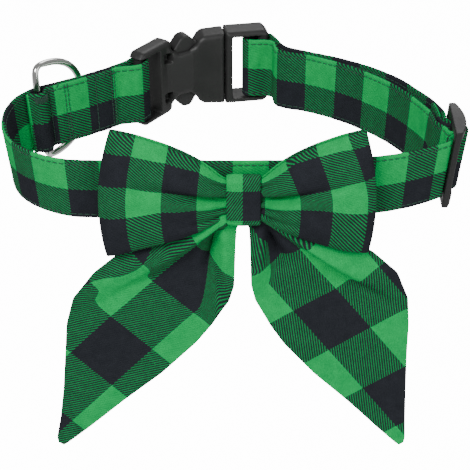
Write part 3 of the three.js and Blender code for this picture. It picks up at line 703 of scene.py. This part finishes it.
def makeKnot(material):
    low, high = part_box("bow_knot")
    depth, height = high.y - low.y, high.z - low.z
    middle = (low + high) / 2
    radius = knot["round"] * mm
    runs = [height - 2 * radius, math.pi / 2 * radius, depth - 2 * radius, math.pi / 2 * radius] * 2
    girth = sum(runs)

    def onLoop(distance):
        # walks round the rounded box from the front face's foot, up and over
        left = distance % girth
        spot = Vector((-depth / 2, -height / 2 + radius))
        heading = Vector((0, 1))
        quarter = Matrix.Rotation(-math.pi / 2, 2)
        for i, run in enumerate(runs):
            if i % 2 == 0:
                if left <= run:
                    return spot + heading * left, Vector((-heading.y, heading.x))
                spot = spot + heading * run
            else:
                center = spot + Vector((heading.y, -heading.x)) * radius
                spoke = spot - center
                if left <= run:
                    turned = Matrix.Rotation(-left / run * math.pi / 2, 2) @ spoke
                    return center + turned, turned.normalized()
                spot = center + quarter @ spoke
                heading = quarter @ heading
            left -= run
        return spot, Vector((-1, 0))

    def place(t, s):
        spot, outward = onLoop(t * girth)
        x = (s - 0.5) * (high.x - low.x)
        rounding = bellAt(abs(s - 0.5), 0.5, knot["edgeWidth"]) * knot["edgeRound"]
        waves = noise.noise(Vector((s * 3.0, t * 14.0, 4.2))) * knot["waves"]
        front = easeStep(-outward.x, 0.2, 0.9)
        sag = knot["sag"] * math.sin(math.pi * s) * front
        spot = spot + outward * (waves * front + sag - rounding) * mm
        return Vector((middle.x + x, middle.y + spot.x, middle.z + spot.y))

    def cloth(t, s, _):
        distance = t * girth
        fromSplit = distance - (knot["splitZ"] * mm - low.z - radius)
        if fromSplit > girth / 2:
            fromSplit -= girth
        x = low.x + s * (high.x - low.x)
        # the knot's cloth lies crosswise, so its warp runs up and down
        up = fromSplit / mm / knot["check"]
        across = (x / mm - knot["splitX"]) / knot["check"]
        return evenCheck + 1 + up, evenCheck + 3 - across

    piece = clothGrid("knot_cloth", knot["columns"], knot["rows"], place, cloth)
    addModifier(piece, "SOLIDIFY", thickness=knot["wall"] * mm, offset=-1.0)
    subdivide(piece, 1)
    finishPiece(piece, material, "plaid_cloth", "collar", "bow_knot")
    print("knot wrapped")


tails = {"steps": 104, "columns": 58, "wall": 1.4, "leftReach": 77.0, "rightReach": 67.3, "drop": 119.5,
         "softSwell": 0.8, "behindStrap": -15.0, "stretchedBelow": -58.0, "leftStretch": 0.92,
         "rightStretch": 0.97, "yarns": (49, 74)}
# what the folds do to the plaid, in checks or millimetres: cloth turned aside by the pockets, tucked
# under the left roll, drawn over the right one, and gathered above the left one
tails["hidden"] = {"aside": 0.95, "asideRight": 0.57, "under": 8.0, "over": 0.4, "gathered": 0.38}
# where those changes begin and end: across (x), up (z) or above the roll (rise), in millimetres
tails["leftFold"] = {"pocketX": (-14.5, -6.5), "pocketZ": (-80.0, -36.0), "pocketRise": (-2.0, 0.5),
                     "tuckMiddle": -30.0, "tuckWidth": 22.0, "tuckRise": (-4.5, 0.5),
                     "gatherX": (24.0, 38.0), "gatherRise": (-1.0, 3.0), "edgeX": (36.0, 60.0)}
tails["rightFold"] = {"pocketX": (11.5, 15.5), "pocketZ": (-41.0, -34.0), "pocketRise": (-2.0, 0.5),
                      "drawnX": (14.0, 36.0), "drawnRise": (-3.0, 0.5)}
tails["shape"] = [
    {"along": 0.0, "outerX": 0.0, "outerZ": -0.03, "innerX": 0.0, "innerZ": 0.093, "full": 0},
    {"along": 0.08, "outerX": 0.1, "outerZ": 0.01, "innerX": 0.034, "innerZ": 0.116, "full": 0},
    {"along": 0.16, "outerX": 0.25, "outerZ": 0.075, "innerX": 0.040, "innerZ": 0.165, "full": 0.05},
    {"along": 0.24, "outerX": 0.42, "outerZ": 0.145, "innerX": 0.043, "innerZ": 0.24, "full": 0.09},
    {"along": 0.33, "outerX": 0.62, "outerZ": 0.205, "innerX": 0.045, "innerZ": 0.33, "full": 0.125},
    {"along": 0.42, "outerX": 0.76, "outerZ": 0.285, "innerX": 0.070, "innerZ": 0.395, "full": 0.135},
    {"along": 0.51, "outerX": 0.87, "outerZ": 0.385, "innerX": 0.158, "innerZ": 0.493, "full": 0.095},
    {"along": 0.60, "outerX": 0.912, "outerZ": 0.49, "innerX": 0.242, "innerZ": 0.568, "full": 0.068},
    {"along": 0.70, "outerX": 0.928, "outerZ": 0.61, "innerX": 0.425, "innerZ": 0.692, "full": 0.052},
    {"along": 0.80, "outerX": 0.95, "outerZ": 0.765, "innerX": 0.635, "innerZ": 0.809, "full": 0.036},
    {"along": 0.90, "outerX": 0.975, "outerZ": 0.885, "innerX": 0.82, "innerZ": 0.92, "full": 0.018},
    {"along": 0.97, "outerX": 1.0, "outerZ": 0.965, "innerX": 0.935, "innerZ": 0.985, "full": 0},
    {"along": 1.0, "outerX": 0.992, "outerZ": 0.99, "innerX": 0.968, "innerZ": 1.0, "full": 0},
]
# rolls of cloth from under the knot, as lines on the front: how far they stand out, how wide they
# are above (or outside) and below, and the share of the line where they fade
tails["rolls"] = [
    {"fromX": -1.0, "fromZ": -8.5, "toX": -58.0, "toZ": -49.5, "height": 5.6, "above": 8.5, "below": 2.4,
     "fade": 0.5},
    {"fromX": -4.6, "fromZ": -12.0, "toX": -3.4, "toZ": -52.0, "height": 3.6, "above": 6.0, "below": 2.4,
     "fade": 0.35},
    {"fromX": -8.0, "fromZ": -19.0, "toX": -11.5, "toZ": -38.0, "height": -4.0, "above": 3.0, "below": 2.2,
     "fade": 0.4},
    {"fromX": -33.0, "fromZ": -30.0, "toX": -64.0, "toZ": -56.0, "height": -1.6, "above": 4.0, "below": 6.0,
     "fade": 0.6},
    {"fromX": 7.0, "fromZ": -6.5, "toX": 62.0, "toZ": -46.5, "height": 5.6, "above": 6.5, "below": 2.4,
     "fade": 0.6},
    {"fromX": 10.4, "fromZ": -12.0, "toX": 8.0, "toZ": -50.0, "height": 3.2, "above": 5.0, "below": 3.0,
     "fade": 0.4},
    {"fromX": 13.0, "fromZ": -18.0, "toX": 20.0, "toZ": -34.0, "height": -3.8, "above": 2.6, "below": 2.6,
     "fade": 0.5},
    {"fromX": 18.0, "fromZ": -19.0, "toX": 42.0, "toZ": -44.0, "height": 1.5, "above": 4.0, "below": 5.0,
     "fade": 0.5},
    {"fromX": 36.0, "fromZ": -33.0, "toX": 66.0, "toZ": -52.0, "height": -1.6, "above": 4.0, "below": 7.0,
     "fade": 0.6},
]
tails["leftRoll"], tails["rightRoll"] = tails["rolls"][0], tails["rolls"][4]
# the plaid on each tail: one corner of its black check, and the two sides from there
tails["leftPlaid"] = {"corner": (-49.1, -56.0), "first": (15.9, -15.0), "second": (-16.9, -16.5)}
tails["rightPlaid"] = {"corner": (39.4, -42.9), "first": (14.5, -18.6), "second": (-16.4, -10.6)}


def plaidCount(chart, x, z):
    # turns a flat place into checks along the two sides of the chart's black check
    dx, dz = x - chart["corner"][0], z - chart["corner"][1]
    (ax, az), (bx, bz) = chart["first"], chart["second"]
    area = ax * bz - az * bx
    return (dx * bz - dz * bx) / area, (ax * dz - az * dx) / area


def besideRoll(roll, x, z):
    # the share of the roll's line a place lies at, and how far above the line it is
    start = Vector((roll["fromX"], roll["fromZ"]))
    line = Vector((roll["toX"], roll["toZ"])) - start
    spoke = Vector((x, z)) - start
    off = (line.x * spoke.y - line.y * spoke.x) / line.length * math.copysign(1, line.x)
    return spoke.dot(line) / line.length_squared, off


def rollPress(x, z):
    # how far the rolls bring a place of the tails forward, in millimetres
    press = 0.0
    for roll in tails["rolls"]:
        share, off = besideRoll(roll, x, z)
        # narrow at the knot, wider and flatter down the line
        width = (roll["above"] if off > 0 else roll["below"]) * (0.55 + 0.6 * min(1.2, max(0.0, share)))
        fade = easeStep(share, -0.2, 0.18) * (1 - easeStep(share, roll["fade"], 1.15))
        press += roll["height"] * math.exp(-abs(off / width) ** 1.7) * fade
    return press


def makeTails(material):
    low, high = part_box("bow_tails")
    plane = high.y - tails["wall"] / 2 * mm
    hidden = tails["hidden"]

    def spot(t, w):
        s = 2 * t - 1
        row = rowAt(tails["shape"], "along", abs(s))
        reach = tails["rightReach"] if s > 0 else -tails["leftReach"]
        outerX = row["outerX"] + (row["full"] if s > 0 else 0.0)
        x = outerX + (row["innerX"] - outerX) * w
        z = row["outerZ"] + (row["innerZ"] - row["outerZ"]) * w
        return s, bow["centerX"] + x * reach, bow["centerZ"] - z * tails["drop"]

    def place(t, w):
        _, x, z = spot(t, w)
        press = rollPress(x, z)
        if z > tails["behindStrap"]:
            press = max(0.0, press)
        swell = 1 + noise.noise(Vector((x * 0.03, z * 0.03, 2.0)))
        press += tails["softSwell"] * easeStep(-z, 8.0, 30.0) * swell
        return Vector((x * mm, plane - press * mm, z * mm))

    def stretched(z, share):
        return max(z, tails["stretchedBelow"] + share * (z - tails["stretchedBelow"]))

    def leftCloth(x, z):
        fold = tails["leftFold"]
        rise = besideRoll(tails["leftRoll"], x, z)[1]
        tucked = hidden["under"] * bellAt(x, fold["tuckMiddle"], fold["tuckWidth"])
        first, second = plaidCount(tails["leftPlaid"], x - tucked * easeStep(rise, *fold["tuckRise"]), z)
        past = easeStep(x, *fold["pocketX"]) * easeStep(z, *fold["pocketZ"])
        past *= 1 - easeStep(rise, *fold["pocketRise"])
        crowd = hidden["gathered"] * easeStep(rise, *fold["gatherRise"]) * easeStep(-x, *fold["gatherX"])
        edge = easeStep(-x, *fold["edgeX"])
        along = crowd * (1 - 0.6 * edge) - hidden["aside"] * past
        return evenCheck + 1 - second - crowd * 0.7 * edge, evenCheck + 1 - first + along

    def rightCloth(x, z):
        fold = tails["rightFold"]
        rise = besideRoll(tails["rightRoll"], x, z)[1]
        drawn = hidden["over"] * easeStep(rise, *fold["drawnRise"]) * (1 - easeStep(x, *fold["drawnX"]))
        past = (1 - easeStep(x, *fold["pocketX"])) * easeStep(z, *fold["pocketZ"])
        past *= 1 - easeStep(rise, *fold["pocketRise"])
        first, second = plaidCount(tails["rightPlaid"], x, z)
        return evenCheck + first, evenCheck + 1 - second + drawn - hidden["asideRight"] * past

    def cloth(t, w, _):
        s, x, z = spot(t, w)
        if s < 0:
            return leftCloth(x, stretched(z, tails["leftStretch"]))
        return rightCloth(x, stretched(z, tails["rightStretch"]))

    piece = clothGrid("tail_cloth", 2 * tails["steps"], tails["columns"], place, cloth)
    addModifier(piece, "SOLIDIFY", thickness=tails["wall"] * mm, offset=0.0)
    subdivide(piece, 1)
    finishPiece(piece, material, "plaid_cloth", "collar", "bow_tails")
    print("tails hung")


# Buckle and slider: the frame's shapes with moulded, rounded edges
buckle = {"shade": (0.021, 0.021, 0.021), "voxel": 0.4, "smoothing": 6}
slider = {"shade": (0.012, 0.012, 0.012), "voxel": 0.35, "smoothing": 5}


def mouldedPiece(name, node, material, mould):
    piece = newObject(name, mergedCopy(node))
    addModifier(piece, "REMESH", mode="VOXEL", voxel_size=mould["voxel"] * mm, use_smooth_shade=True)
    addModifier(piece, "SMOOTH", factor=0.5, iterations=mould["smoothing"])
    finishPiece(piece, material, "black_plastic", "collar", node)
    print(name, "moulded")


def makeRing(material):
    bm = mergedCopy("d_ring")
    flatEnough = 3.1
    bmesh.ops.join_triangles(bm, faces=bm.faces, angle_face_threshold=flatEnough,
                             angle_shape_threshold=flatEnough)
    piece = newObject("ring_wire", bm)
    subdivide(piece, 2)
    finishPiece(piece, material, "ring_metal", "ring", "d_ring")
    print("ring smoothed")


makeStudio()
bandPlaid = plaidMaterial("bandPlaid", *strap["yarns"])
wingPlaid = plaidMaterial("wingPlaid", *wings["yarns"])
tailPlaid = plaidMaterial("tailPlaid", *tails["yarns"])
bucklePlastic = plasticMaterial("bucklePlastic", buckle["shade"])
sliderPlastic = plasticMaterial("sliderPlastic", slider["shade"])
darkThread = threadMaterial("darkThread", stitches["shade"])

stations, middle = makeStrap(bandPlaid)
makeStitches(stations, middle, darkThread)
makeWings(wingPlaid)
makeKnot(wingPlaid)
makeTails(tailPlaid)
mouldedPiece("socket_moulding", "buckle_socket", bucklePlastic, buckle)
mouldedPiece("clip_moulding", "buckle_clip", bucklePlastic, buckle)
mouldedPiece("slider_moulding", "strap_slider", sliderPlastic, slider)
makeRing(nickelMaterial())
